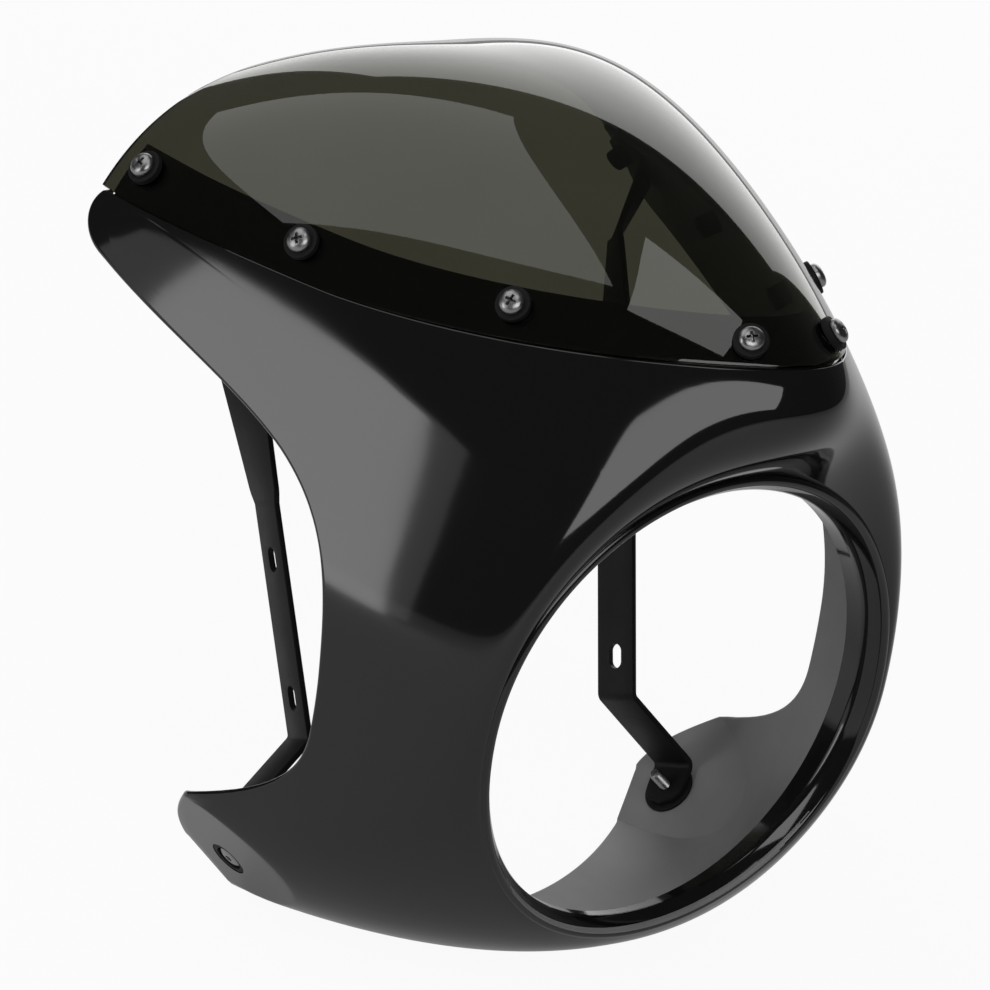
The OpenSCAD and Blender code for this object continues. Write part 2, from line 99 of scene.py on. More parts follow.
def bez3(a, b, c, d, u):
    v = 1 - u
    return a * v**3 + 3 * b * v**2 * u + 3 * c * v * u**2 + d * u**3


def soft_min(a, b, k):
    """The smaller of two radii, with a rounded change-over of about k."""
    h = np.clip(0.5 + 0.5 * (b - a) / k, 0, 1)
    return b * (1 - h) + a * h - k * h * (1 - h)


def form(a, t):
    """Radius, y and the ear pad's radius of the body surface."""
    c, s = np.cos(np.radians(a)), np.abs(np.sin(np.radians(a)))
    up = c >= 0
    p = np.where(up, bez4(TOP_P, t), bez4(BASE_P, t))
    h = np.where(up, bez4(TOP_R, t), bez4(BASE_R, t))
    w = bez4(SIDE_R, t)
    r = 1 / ((s / w) ** p + (np.abs(c) / h) ** p) ** (1 / p)
    r = r * np.where(up, 1 - SLACK * 4 * t * (1 - t) * (2 * s * c) ** 2, 1)
    ys = bez4(SIDE_Y, t)
    keel = np.where(up, NOSE * 4 * t * (1 - t) * np.abs(c) ** 25, 0)
    yc = np.where(up, bez4(TOP_Y, t), bez4(BASE_Y, t))
    y = ys + (yc - ys) * np.abs(c) ** np.where(up, 1.9, 2) - keel
    pad = (PAD_D + PAD_K * y) / np.maximum(0.3, 0.766 * s - 0.643 * c)
    pad = np.where((c < 0) & (y > 50), pad, 1e3)
    return r, y, pad


def surf(a, t):
    """Body surface: a is the angle in degrees from +Z towards +X, t runs from lip to rear."""
    a, t = np.broadcast_arrays(np.asarray(a, float), np.asarray(t, float))
    r, y, pad = form(a, t)
    r = soft_min(r, pad, 0.5)
    s, c = np.sin(np.radians(a)), np.cos(np.radians(a))
    return np.stack([r * s, y, r * c], -1)


def normal(a, t, ea=0.15, et=0.002):
    a, t = np.broadcast_arrays(np.asarray(a, float), np.asarray(t, float))
    t0, t1 = np.maximum(0, t - et), np.minimum(1, t + et)
    return unit(np.cross(surf(a + ea, t) - surf(a - ea, t), surf(a, t1) - surf(a, t0)))


def off(a, t, d):
    return surf(a, t) + np.asarray(d, float)[..., None] * normal(a, t)


_u = np.linspace(0, 1, 60)
CUT = np.concatenate([
    np.stack([bez3(-104, -96, -89, -74, _u),
              bez3(EAR_Y, EAR_Y, EAR_Y - 4, EAR_Y - 21, _u)], 1)[:-1],
    np.stack([bez3(-74, -58, -45, -25, _u),
              bez3(EAR_Y - 21, WAIST_Y + 18, WAIST_Y, WAIST_Y, _u)], 1)[:-1],
    np.stack([bez3(-25, 78, 78, 110, _u), bez3(WAIST_Y, WAIST_Y, 110, HORN_Y - 15, _u)], 1)[:-1],
    np.stack([bez3(110, 114, 126, SEAM_H + 2, _u),
              bez3(HORN_Y - 15, HORN_Y - 2, HORN_Y + 6, HORN_Y - 3, _u)], 1),
])


def seam_z(y):
    return SEAM_H + SEAM_RISE * (np.maximum(0, 115 - y) / 143) ** 1.6


def chin_edge(x):
    return np.minimum(EAR_Y, CHIN_Y + 45 * (np.abs(x) / 95) ** 1.45)


def beyond(p):
    """Positive outside the moulding's outline."""
    x, y, z = p[..., 0], p[..., 1], p[..., 2]
    limit = np.where(z < -104, chin_edge(x), np.interp(z, CUT[:, 0], CUT[:, 1]))
    return np.maximum(z - seam_z(y), y - limit)


def above(p, dz):
    return p[..., 2] - seam_z(p[..., 1]) - dz


def behind(p, d):
    return p[..., 1] + d - FREE_Y - 0.18 * (p[..., 2] - SEAM_H)


def first_t(a, fn, lo=0.1, n=500):
    """First t at which fn turns positive along each column."""
    a = np.atleast_1d(np.asarray(a, float))
    ts = np.linspace(lo, 1, n)
    f = fn(surf(a[:, None], ts[None, :])) > 0
    k = np.where(f.any(1), f.argmax(1), n)
    t1 = ts[np.clip(k, 0, n - 1)]
    t0 = ts[np.clip(k - 1, 0, n - 1)]
    for _ in range(24):
        m = (t0 + t1) / 2
        pos = fn(surf(a, m)) > 0
        t1, t0 = np.where(pos, m, t1), np.where(pos, t0, m)
    return np.where(k >= n, 1.0, (t0 + t1) / 2)


def edge_t(a):
    return first_t(a, beyond)


def up_t(a, dz):
    return first_t(a, lambda p: above(p, dz))


def back_t(a, d):
    return first_t(a, lambda p: behind(p, d), lo=0.4)


def mm_t(a, t, d):
    a = np.asarray(a, float)
    return d / np.linalg.norm(surf(a, t) - surf(a, t - 0.02), axis=-1) * 0.02


def angle_at(y, dz):
    """Angle at which a point dz above the seam lies at a given y."""
    lo, hi = 0.0, FLANGE_A
    for _ in range(20):
        m = (lo + hi) / 2
        q = surf(m, up_t(m, dz)[0])
        lo, hi = (lo, m) if q[1] > y else (m, hi)
    return (lo + hi) / 2


# Meshes
def mesh_object(name, verts, faces, node=None, scale=0.001):
    me = bpy.data.meshes.new(name)
    points = [tuple(v) for v in np.asarray(verts, float) * scale]
    me.from_pydata(points, [], [tuple(f) for f in faces])
    me.validate(clean_customdata=False)
    me.update()
    ob = bpy.data.objects.new(name, me)
    SCENE.collection.objects.link(ob)
    clean(ob)
    if node:
        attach(ob, "root")
        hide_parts(node)
    return ob


def clean(ob, merge=1e-6):
    bm = bmesh.new()
    bm.from_mesh(ob.data)
    bmesh.ops.remove_doubles(bm, verts=bm.verts, dist=merge)
    bmesh.ops.recalc_face_normals(bm, faces=bm.faces)
    if bm.calc_volume(signed=True) < 0:
        bmesh.ops.reverse_faces(bm, faces=bm.faces)
    bm.to_mesh(ob.data)
    bm.free()


def smooth(ob, angle=32):
    ob.data.shade_smooth()
    ob.data.set_sharp_from_angle(angle=math.radians(angle))


def bevel(ob, width, segments=2, angle=35):
    m = ob.modifiers.new("edges", "BEVEL")
    m.width, m.segments, m.limit_method = width * 0.001, segments, "ANGLE"
    m.angle_limit = math.radians(angle)
    m.harden_normals = False
    apply(ob, m)


def apply(ob, m):
    with bpy.context.temp_override(object=ob, active_object=ob, selected_objects=[ob]):
        bpy.ops.object.modifier_apply(modifier=m.name)


def cut(ob, *tools, solver="MANIFOLD"):
    for tool in tools:
        m = ob.modifiers.new("cut", "BOOLEAN")
        m.operation, m.solver, m.object = "DIFFERENCE", solver, tool
        apply(ob, m)
    for tool in tools:
        bpy.data.objects.remove(tool, do_unlink=True)


def loft(rings, closed_rows=True, closed_cols=False, cap=True):
    """Vertices and faces of a grid of rings; rings is an array of n rings of m points."""
    rings = np.asarray(rings, float)
    n, m = rings.shape[:2]
    faces = []
    for i in range(n if closed_cols else n - 1):
        j = (i + 1) % n
        for k in range(m if closed_rows else m - 1):
            q = (k + 1) % m
            faces.append((i * m + k, i * m + q, j * m + q, j * m + k))
    if cap and not closed_cols:
        faces.append(tuple(range(m))[::-1])
        faces.append(tuple((n - 1) * m + k for k in range(m)))
    return rings.reshape(-1, 3), faces


def lathe(profile, n=64, at=None):
    """Closed profile of (radius, height) turned round Z; the merge joins points on the axis."""
    a = np.linspace(0, 2 * math.pi, n, endpoint=False)
    p = np.asarray(profile, float)
    rings = np.stack([
        np.stack([p[:, 0] * math.cos(q), p[:, 0] * math.sin(q), p[:, 1]], 1) for q in a])
    v, f = loft(rings, closed_rows=True, closed_cols=True)
    return (v if at is None else place(v, at)), f


def place(v, m):
    return v @ m[:3, :3].T + m[:3, 3]


def matrix(ex, ey, ez, o):
    m = np.eye(4)
    m[:3, 0], m[:3, 1], m[:3, 2], m[:3, 3] = ex, ey, ez, o
    return m


def turned(m, deg):
    c, s = math.cos(math.radians(deg)), math.sin(math.radians(deg))
    r = np.eye(4)
    r[:2, :2] = [[c, -s], [s, c]]
    return m @ r


def rounded(profile, r, n=3):
    """Rounds the corners of a closed (radius, height) profile that lie off the axis."""
    p = [np.array(q, float) for q in profile]
    out = []
    for i, q in enumerate(p):
        a, b = p[i - 1] - q, p[(i + 1) % len(p)] - q
        la, lb = np.linalg.norm(a), np.linalg.norm(b)
        if q[0] < 1e-6 or la < 1e-6 or lb < 1e-6:
            out.append(q)
            continue
        d = min(r, la * 0.4, lb * 0.4)
        s, e = q + a / la * d, q + b / lb * d
        for k in range(n + 1):
            w = k / n
            out.append((1 - w) ** 2 * s + 2 * w * (1 - w) * q + w**2 * e)
    return out


# Fastener stations and frames
def on_surface(a, t, d=0.0):
    a = float(a)
    n = normal(a, t)
    p = surf(a, t) + d * n
    ex = unit(np.cross([0, 1, 0], n))
    return matrix(ex, np.cross(n, ex), n, p)


SCREW_A = [NOSE_A] + [angle_at(y, SCREW_UP) for y in SCREW_Y]
SCREW_TT = [float(up_t(a, SCREW_UP - (0 if i else NOSE_DOWN))[0]) for i, a in enumerate(SCREW_A)]


def at_screw(i, d=0.0):
    k = (i - 1) % 4
    return on_surface((1 if i > 4 else -1) * SCREW_A[k], SCREW_TT[k], d)


EAR_P = np.array([
    (PAD_D + PAD_K * EAR_HOLE_Y - EAR_Z * EAR_HOLE_H) / EAR_X, EAR_HOLE_Y, -EAR_HOLE_H])
EAR_N = unit([EAR_X, -PAD_K, -EAR_Z])
EAR_U = unit(np.array([0, 0, 1]) - EAR_N[2] * EAR_N)


def at_ear(s, d=0.0):
    n, u, p = EAR_N * [s, 1, 1], EAR_U * [s, 1, 1], EAR_P * [s, 1, 1]
    return matrix(np.cross(u, n), u, n, p + d * n)


def drill(radius, low, high, n, at):
    v, f = lathe([(0, low), (radius, low), (radius, high), (0, high)], n, at)
    return mesh_object("drill", v, f)


def nut_drills():
    return [drill(NUT_D / 2 + 0.2, -DRILL_L, DRILL_L, 48, at_screw(i))
            for i in range(1, SCREWS + 1)]


# Cowl moulding
def cowl():
    half = np.concatenate([
        np.arange(0, 34, 1.0), np.arange(34, 43, 0.5), np.arange(43, 57, 0.25),
        np.arange(57, 66, 0.5),
        np.arange(66, 118, 1.0), np.arange(118, 152, 0.6), np.arange(152, 180, 1.2), [180.0]])
    half = np.unique(np.append(half, FLANGE_A))
    cols = np.concatenate([-half[1:-1][::-1], half])
    te = edge_t(cols)
    fl = np.abs(cols) <= FLANGE_A + 1e-6
    n1, n2 = 46, 14
    ts = np.linspace(0.3, 1, 400)
    r, y, pad = form(cols[:, None], np.minimum(ts, 1)[None, :])
    hit = (pad < r) & (ts[None, :] < te[:, None])
    tc = np.where(hit.any(1), ts[hit.argmax(1)], 9.0)
    lo, hi = tc - 0.0036, tc.copy()
    for _ in range(14):
        m = (lo + hi) / 2
        r, y, pad = form(cols, np.clip(m, 0, 1))
        inside = pad < r
        hi, lo = np.where(inside, m, hi), np.where(inside, lo, m)
    tc = np.where(tc > 1, 9.0, (lo + hi) / 2)

    # outward direction in the surface, square to the edge
    pe = surf(cols, te)
    tan = unit(np.roll(pe, -1, 0) - np.roll(pe, 1, 0))
    ne = normal(cols, te)
    out = unit(np.cross(ne, tan))
    ds = (surf(cols, te) - surf(cols, te - 0.004)) / 0.004
    flip = np.sign((out * ds).sum(1))
    out *= flip[:, None]
    slope = np.maximum((out * ds).sum(1), 120)
    back = np.where(fl, 0.5, WALL / 2)
    t_in = te - back / slope
    rows = []
    tb = np.minimum(tc, t_in - 8.0 / slope)
    e = 0.9 / slope
    for i in range(len(cols)):
        first = np.linspace(0, 1, n1) ** 1.1 * (tb[i] - e[i])
        last_rows = np.linspace(tb[i] + 2.2 * e[i], t_in[i], n2)
        rows.append(np.concatenate([first, [tb[i]], [tb[i] + e[i]], last_rows]))
    rows = np.array(rows)
    outer = surf(cols[:, None], rows)
    inner_t = np.concatenate([rows[:, :n1:2], rows[:, n1 - 1:]], 1)
    inner = off(cols[:, None], inner_t, np.full(inner_t.shape, -WALL))

    s, c = np.sin(np.radians(cols)), np.cos(np.radians(cols))
    polar = lambda r, y: np.stack([r * s, y + 0 * s, r * c], -1)
    y0 = surf(cols, 0)[:, 1]
    lip_r = RING_R - BEAD_R + 0.2
    bead = [polar(lip_r + BEAD_R * math.cos(q), y0 + 1 - BEAD_R * math.sin(q))
            for q in np.linspace(0.12, math.pi * 0.97, 13)]
    ramp = lip_r - BEAD_R - BORE_R
    bead += [polar(BORE_R + ramp * 0.25, y0 + 1 + ramp * 0.75), polar(BORE_R, y0 + 1 + ramp * 1.2)]
    bead += [polar(BORE_R, y0 * 0.5), polar(BORE_R, -0.5 + 0 * y0), polar(BORE_R + 0.5, 0 * y0)]
    bead += [polar(BORE_R + SLEEVE_T - 0.5, 0 * y0), polar(BORE_R + SLEEVE_T, -0.5 + 0 * y0)]
    bead += [polar(BORE_R + SLEEVE_T, (y0 + 4.5) * q) for q in (0.35, 0.7, 1.0)]
    bead = np.stack(bead, 1)

    # one loop a column: edge to lip, bead and sleeve, then inside back to the edge
    loop = np.concatenate([outer[:, ::-1], bead, inner], 1)
    n, L = loop.shape[:2]
    verts = [loop.reshape(-1, 3)]
    faces = []
    for i in range(n):
        j = (i + 1) % n
        for k in range(L - 1):
            faces.append((j * L + k, j * L + k + 1, i * L + k + 1, i * L + k))
    base = n * L
    # free edge: a half round of the wall's thickness
    H = 7
    q = np.linspace(0, math.pi, H + 2)[1:-1]
    n_in = normal(cols, t_in)
    p_in = surf(cols, t_in)
    mid = p_in - WALL / 2 * n_in
    cq, sq = np.cos(q)[None, :, None], np.sin(q)[None, :, None]
    hr = mid[:, None] + WALL / 2 * (cq * n_in[:, None] + sq * out[:, None])
    verts.append(hr.reshape(-1, 3))
    first, last = int(np.where(fl)[0].min()), int(np.where(fl)[0].max())

    def rim(i):
        return [i * L] + [base + i * H + k for k in range(H)] + [i * L + L - 1]

    for i in range(n):
        j = (i + 1) % n
        if fl[i] and fl[j]:
            continue
        a, b = rim(i), rim(j)
        for k in range(H + 1):
            faces.append((a[k], a[k + 1], b[k + 1], b[k]))
    # flange: small edge radius, step down, then up under the screen and back
    base2 = base + n * H
    fc = np.where(fl)[0]
    ca, cte = cols[fc], te[fc]
    tf = np.maximum(cte + 0.004, np.minimum(up_t(ca, FLANGE_H), back_t(ca, 5)))
    nf, o = ne[fc], out[fc]
    edge = pe[fc]
    ring = []
    for w in (0.35, 0.75, 1.0):
        ang = w * math.pi / 2
        ring.append(edge + o * (0.5 * math.sin(ang) - 0.5) - nf * 0.5 * (1 - math.cos(ang)))
    ring.append(edge - nf * (FLANGE_IN - 0.5))
    ring.append(edge + o * 0.15 - nf * (FLANGE_IN - 0.13))
    FN = 12
    up = [cte + (tf - cte) * w for w in np.linspace(0, 1, FN)]
    up[0] = cte + 0.6 / slope[fc]
    for t in up[:-1]:
        ring.append(off(ca, t, np.full(len(ca), -FLANGE_IN)))
    top_n, top_p = normal(ca, tf), surf(ca, tf)
    top_d = unit(surf(ca, tf) - surf(ca, tf - 0.004))
    for w in np.linspace(0, math.pi, 6):
        c0 = top_p - top_n * (FLANGE_IN + WALL / 2) - top_d * 1.5
        ring.append(c0 + WALL / 2 * (math.cos(w) * top_n + math.sin(w) * top_d))
    for t in up[1:-1][::-1]:
        ring.append(off(ca, t, np.full(len(ca), -FLANGE_IN - WALL)))
    for w in (0.35, 0.7):
        depth = np.full(len(ca), -FLANGE_IN * (1 - w) - WALL)
        ring.append(off(ca, cte - mm_t(ca, cte, WALL * w * 1.6), depth))
    ring = np.stack(ring, 1)
    R = ring.shape[1]
    verts.append(ring.reshape(-1, 3))
    pos = {int(i): k for k, i in enumerate(fc)}

    def lap(i):
        return [i * L] + [base2 + pos[i] * R + k for k in range(R)] + [i * L + L - 1]

    for i in range(first, last):
        a, b = lap(i), lap(i + 1)
        for k in range(R + 1):
            faces.append((a[k], a[k + 1], b[k + 1], b[k]))
    faces.append(tuple(lap(first) + rim(first)[1:-1][::-1]))
    faces.append(tuple(lap(last) + rim(last)[1:-1][::-1]))
    ob = mesh_object("cowl_shell_moulding", np.concatenate(verts), faces, "cowl_shell")
    ears = [drill(EAR_HOLE_D / 2, -12, 12, 96, at_ear(s)) for s in (-1, 1)]
    cut(ob, *nut_drills(), *ears)
    return ob


# Screen
def screen():
    half = np.concatenate([
        np.arange(0, 34, 0.75), np.arange(34, 43, 0.4), np.arange(43, 46.1, 0.2), [46.1]])
    cols = np.concatenate([-half[1:][::-1], half])
    t0 = edge_t(cols)
    ts = t0 + mm_t(cols, t0, SEAM_GAP)
    t1 = np.maximum(ts + 0.004, back_t(cols, 0))
    n = 96
    w = np.linspace(0, 1, n)
    e = 0.35
    ds = np.linalg.norm(surf(cols, t0) - surf(cols, t0 - 0.01), axis=-1) / 0.01
    lo, hi = ts + e / ds, t1 - e / ds
    tt = lo[:, None] + (hi - lo)[:, None] * w[None]
    top = off(cols[:, None], tt, np.full(tt.shape, PROUD))
    bot = off(cols[:, None], tt, np.full(tt.shape, PROUD - SCREEN_T))

    def rim(t, sgn):
        nn, p = normal(cols, t), surf(cols, t)
        d = unit(surf(cols, t + 0.002) - surf(cols, t - 0.002)) * sgn * e
        pts = []
        for q in (0.45, 1.0):
            ang = q * math.pi / 2
            pts.append(p + d * math.sin(ang) + nn * (PROUD - e * (1 - math.cos(ang))))
        for q in (1.0, 0.45):
            ang = q * math.pi / 2
            pts.append(p + d * math.sin(ang) + nn * (PROUD - SCREEN_T + e * (1 - math.cos(ang))))
        return np.stack(pts, 1)

    ring = np.concatenate([top, rim(hi, 1), bot[:, ::-1], rim(lo, -1)[:, ::-1]], 1)
    v, f = loft(ring, cap=False)
    m = ring.shape[1]
    # end caps as strips between the outer and inner rows
    k_top = list(range(n))
    k_bot = [n + 4 + n - 1 - k for k in range(n)]
    for i in (0, len(cols) - 1):
        b = i * m
        for k in range(n - 1):
            quad = (b + k_top[k], b + k_top[k + 1], b + k_bot[k + 1], b + k_bot[k])
            f.append(quad if i == 0 else quad[::-1])
        hi_r = [b + n - 1, b + n, b + n + 1, b + n + 2, b + n + 3, b + n + 4]
        lo_r = [b + 2 * n + 3, b + 2 * n + 4, b + 2 * n + 5, b + 2 * n + 6, b + 2 * n + 7, b]
        for rr in (hi_r, lo_r):
            f.append(tuple(rr) if i == 0 else tuple(rr[::-1]))
    ob = mesh_object("windscreen_sheet", v, f, "windscreen")
    cut(ob, *nut_drills())
    return ob


# Fasteners
def thread(r, z0, z1, pitch=0.8, depth=0.45, n=36):
    """Rows of a threaded rod from z0 to z1, tapered at z0; the crest follows a helix."""
    a = np.arange(n) / n
    rows = []
    for z in np.arange(z0, z1, pitch / 8):
        ph = (z / pitch - a) % 1
        tri = np.abs(ph * 2 - 1)
        taper = min(1.0, (z - z0) / 0.9 + 0.15)
        rr = (r - depth * (1 - tri)) * (0.82 + 0.18 * taper)
        turn = 2 * math.pi * a
        rows.append(np.stack([rr * np.cos(turn), rr * np.sin(turn), z + 0 * a], 1))
    return np.array(rows)


def well_nut(i):
    prof = rounded([
        (SCREW_D / 2 + 0.05, WASHER_T), (SCREW_D / 2 + 0.05, -NUT_L), (NUT_D / 2 - 0.6, -NUT_L),
        (NUT_D / 2, -NUT_L + 0.8), (NUT_D / 2, 0), (WASHER_D / 2, 0), (WASHER_D / 2, WASHER_T)],
        0.6, 5)
    v, f = lathe(prof, 72, at_screw(i, PROUD))
    ob = mesh_object(f"well_nut_rubber_{i}", v, f, f"well_nut_{i}")
    smooth(ob, 50)
    return ob


def domed_head(m, r, power, height):
    """Head turned from its seat up; height gives the dome's level from the sine of its angle."""
    dome = [(r * math.cos(q) ** power if q < math.pi / 2 else 0, height(math.sin(q)))
            for q in np.linspace(0, math.pi / 2, 14)]
    prof = [(0, -0.5), (SCREW_D / 2, -0.5), (SCREW_D / 2, 0), (r - 0.25, 0), (r, 0.25)] + dome
    v, f = lathe(prof, 96, m)
    return mesh_object("head", v, f)


def threaded_rod(m, low):
    v, f = loft(thread(SCREW_D / 2, low, -0.1))
    return mesh_object("rod", place(v, m), f)


def cross_head(m, h=3.4):
    """Domed head with a cross recess, its seat at the frame's origin."""
    head = domed_head(m, HEAD_D / 2, 0.75, lambda up: h * (0.3 + 0.7 * up))
    tools = []
    for q in (0, 90):
        top, bot = (5.2, 1.25), (3.0, 0.8)
        mm = turned(m, q)
        pts = []
        for (lx, ly), z in ((bot, h - 2.2), (top, h + 0.6)):
            x, y = lx / 2, ly / 2
            pts += [(-x, -y, z), (x, -y, z), (x, y, z), (-x, y, z)]
        fc = [(3, 2, 1, 0), (4, 5, 6, 7), (0, 1, 5, 4), (1, 2, 6, 5), (2, 3, 7, 6), (3, 0, 4, 7)]
        tools.append(mesh_object("recess", place(np.array(pts), mm), fc))
    cut(head, *tools, solver="EXACT")
    bevel(head, 0.09, 2, 50)
    return head


def join(name, obs, node):
    with bpy.context.temp_override(
            active_object=obs[0], object=obs[0], selected_objects=obs,
            selected_editable_objects=obs):
        bpy.ops.object.join()
    ob = obs[0]
    ob.name = name
    ob.data.name = name
    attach(ob, "root")
    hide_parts(node)
    return ob


def screw(i):
    m = turned(at_screw(i, PROUD + WASHER_T), 20 + 37 * i)
    head = cross_head(m)
    rod = threaded_rod(m, -WASHER_T - NUT_L + 3)
    ob = join(f"screen_screw_pan_{i}", [head, rod], f"screen_screw_{i}")
    smooth(ob, 40)
    return ob


def grommet(s, side):
    hole_r, seat_r, back = EAR_HOLE_D / 2, BOLT_HEAD_D / 2 + 0.3, -WALL - LIP_T
    prof = rounded([
        (SCREW_D / 2 + 0.2, back), (hole_r + 3, back), (hole_r + 3, -WALL - 0.1),
        (hole_r - 0.1, -WALL - 0.1), (hole_r - 0.1, -0.2), (seat_r, -0.2),
        (seat_r, back + SEAT_T), (SCREW_D / 2 + 0.2, back + SEAT_T)], 0.4, 4)
    v, f = lathe(prof, 96, at_ear(s))
    ob = mesh_object(f"ear_grommet_rubber_{side}", v, f, f"ear_grommet_{side}")
    smooth(ob, 50)
    return ob


def ear_bolt(s, side):
    m = at_ear(s, -WALL - LIP_T + SEAT_T)
    head = domed_head(m, BOLT_HEAD_D / 2, 0.6, lambda up: 1.2 + 1.9 * up)
    vv, ff = lathe([(0, 1.7), (1.75, 1.7), (1.75, 5), (0, 5)], 6, m)
    tool = mesh_object("recess", vv, ff)
    cut(head, tool, solver="EXACT")
    bevel(head, 0.1, 2, 50)
    rod = threaded_rod(m, -BOLT_L)
    ob = join(f"ear_bolt_zinc_{side}", [head, rod], f"ear_bolt_{side}")
    smooth(ob, 40)
    return ob


# Straps
RAKE, RAKE_TOP = unit([0.087, 0.4, 0.91]), unit([0.12, 0.43, 0.89])
EAR_IN = EAR_P - (WALL + LIP_T + STRAP_T / 2) * EAR_N
FOLD_V = unit(np.cross(RAKE, EAR_N))
FACE_N = np.cross(FOLD_V, RAKE)
_q = np.array([81.4, 122, -48])
SLOT_P = _q - np.dot(_q - EAR_IN, FOLD_V) * FOLD_V
MID_L = SLOT_PITCH + 22
EAR_D = np.cross(EAR_N, FOLD_V)


def strap_path():
    """Corner points of the strap's lower middle line: top of the slotted run, low bend, ear tab and
    its end.
    """
    flat = lambda p: np.array([np.dot(p - SLOT_P, RAKE), np.dot(p - SLOT_P, FACE_N)])
    pts = [np.array([MID_L, 0.0]), np.array([-LOW_L, 0.0]),
           flat(EAR_IN + TAB_L * EAR_D), flat(EAR_IN - STRAP_W / 2 * EAR_D)]
    lift = lambda q: SLOT_P + q[0] * RAKE + q[1] * FACE_N
    return [lift(p) for p in pts]


def fillet(points, radius, n=9):
    out = [points[0]]
    for a, b, c in zip(points, points[1:], points[2:]):
        d1, d2 = unit(b - a), unit(c - b)
        turn = math.acos(float(np.clip(d1 @ d2, -1, 1)))
        longest = 0.45 * min(np.linalg.norm(b - a), np.linalg.norm(c - b))
        cut_l = min(radius * math.tan(turn / 2), longest)
        rad = cut_l / math.tan(turn / 2)
        s = b - cut_l * d1
        nn = unit(d2 - (d2 @ d1) * d1)
        o = s + rad * nn
        for k in range(n + 1):
            q = turn * k / n
            out.append(o + rad * (math.sin(q) * d1 - math.cos(q) * nn))
    out.append(points[-1])
    return np.array(out)


def strap(s, side):
    low = strap_path()
    mid = low[0]
    top3 = mid + DIAGONAL_L * RAKE_TOP
    tm = on_surface(SCREW_A[3], SCREW_TT[3])
    tip_n = tm[:3, 2]
    tip_p = tm[:3, 3] - (FLANGE_IN + WALL + TIP_GAP + STRAP_T / 2) * tip_n
    d = top3 - tip_p
    tip_b = tip_p + TIP_L * unit(d - (d @ tip_n) * tip_n)
    tip_e = tip_p - STRAP_W / 2 * unit(tip_b - tip_p)
    path = fillet([low[3], low[2], low[1], mid, top3, tip_b, tip_e], BEND_R)
    # resample the long runs so that width and twist can change along them
    pts = [path[0]]
    for a, b in zip(path, path[1:]):
        k = max(1, int(np.linalg.norm(b - a) / 2.0))
        pts += [a + (b - a) * (i + 1) / k for i in range(k)]
    pts = np.array(pts)
    n = len(pts)
    tan = unit(np.gradient(pts, axis=0))
    wide_low, wide_tip = FOLD_V, unit(np.cross(tip_n, unit(tip_b - tip_p)))
    wide_tip = wide_tip * np.sign(wide_tip @ wide_low)
    arc = np.concatenate([[0], np.cumsum(np.linalg.norm(np.diff(pts, axis=0), axis=1))])
    i_mid = int(np.argmin(np.linalg.norm(pts - mid, axis=1)))
    i_tip = int(np.argmin(np.linalg.norm(pts - tip_b, axis=1)))
    w = np.clip((arc - arc[i_mid]) / (arc[i_tip] - arc[i_mid]), 0, 1)
    wide = unit((1 - w)[:, None] * wide_low + w[:, None] * wide_tip)
    wide = unit(wide - (wide * tan).sum(1)[:, None] * tan)
    nrm = np.cross(tan, wide)
    half = np.where(arc < arc[i_mid], STRAP_W / 2, 0)
    i_top = int(np.argmin(np.linalg.norm(pts - top3, axis=1)))
    up = np.interp(
        arc, [arc[i_mid], arc[i_mid] + 5, arc[i_top], arc[-1]],
        [STRAP_W / 2, STRAP_TOP_W / 2 - 1, STRAP_TOP_W / 2, STRAP_W / 2])
    half = np.where(arc < arc[i_mid], half, up)
    # rounded ends
    for end in (arc, arc[-1] - arc):
        r = STRAP_W / 2
        near = end < r
        round_w = np.sqrt(np.maximum(0.02, r**2 - (r - end) ** 2))
        half = np.where(near, np.minimum(half, round_w), half)
    c = 0.35
    rings = []
    for i in range(n):
        h, tt = half[i], STRAP_T / 2
        ordered = []
        for (sx, sy), fwd in [((-1, 1), True), ((1, 1), False), ((1, -1), True), ((-1, -1), False)]:
            cc = min(c, h * 0.5)
            side_p = [(sx * h, sy * (tt - c)), (sx * (h - cc * 0.3), sy * (tt - c * 0.3)),
                      (sx * (h - cc), sy * tt)]
            ordered += side_p if fwd else side_p[::-1]
        rings.append([pts[i] + x * wide[i] + y * nrm[i] for x, y in ordered])
    v, f = loft(np.array(rings))
    v = v * [s, 1, 1]
    ob = mesh_object(f"bracket_strap_{side}", v, f, f"bracket_{side}")
    tools = []
    for k in (0, 1):
        o = SLOT_P + k * SLOT_PITCH * RAKE
        ring = []
        r, l = SLOT_W / 2, (SLOT_L - SLOT_W) / 2
        for q in np.linspace(0, 2 * math.pi, 48, endpoint=False):
            ring.append((r * math.cos(q), r * math.sin(q) + (l if math.sin(q) >= 0 else -l)))
        rr = [[o + x * FOLD_V + y * RAKE + z * FACE_N for x, y in ring] for z in (-6, 6)]
        vv, ff = loft(np.array(rr))
        tools.append(mesh_object("slot", vv * [s, 1, 1], ff))
    tools.append(drill(SCREW_D / 2 + 0.1, -DRILL_L, 0, 48, at_ear(s)))
    rear = on_surface(s * SCREW_A[3], SCREW_TT[3])
    tools.append(drill(NUT_D / 2 + 0.2, -DRILL_L, 10, 48, rear))
    cut(ob, *tools)
    smooth(ob, 30)
    return ob


# Materials
def material(name, color, rough, metallic=0.0, spec=0.5, **extra):
    mat = bpy.data.materials.new(name)
    mat.use_nodes = True
    b = mat.node_tree.nodes["Principled BSDF"]
    b.inputs["Base Color"].default_value = (*color, 1)
    b.inputs["Roughness"].default_value = rough
    b.inputs["Metallic"].default_value = metallic
    b.inputs["Specular IOR Level"].default_value = spec
    for k, val in extra.items():
        b.inputs[k.replace("_", " ")].default_value = val
    return mat, mat.node_tree, b


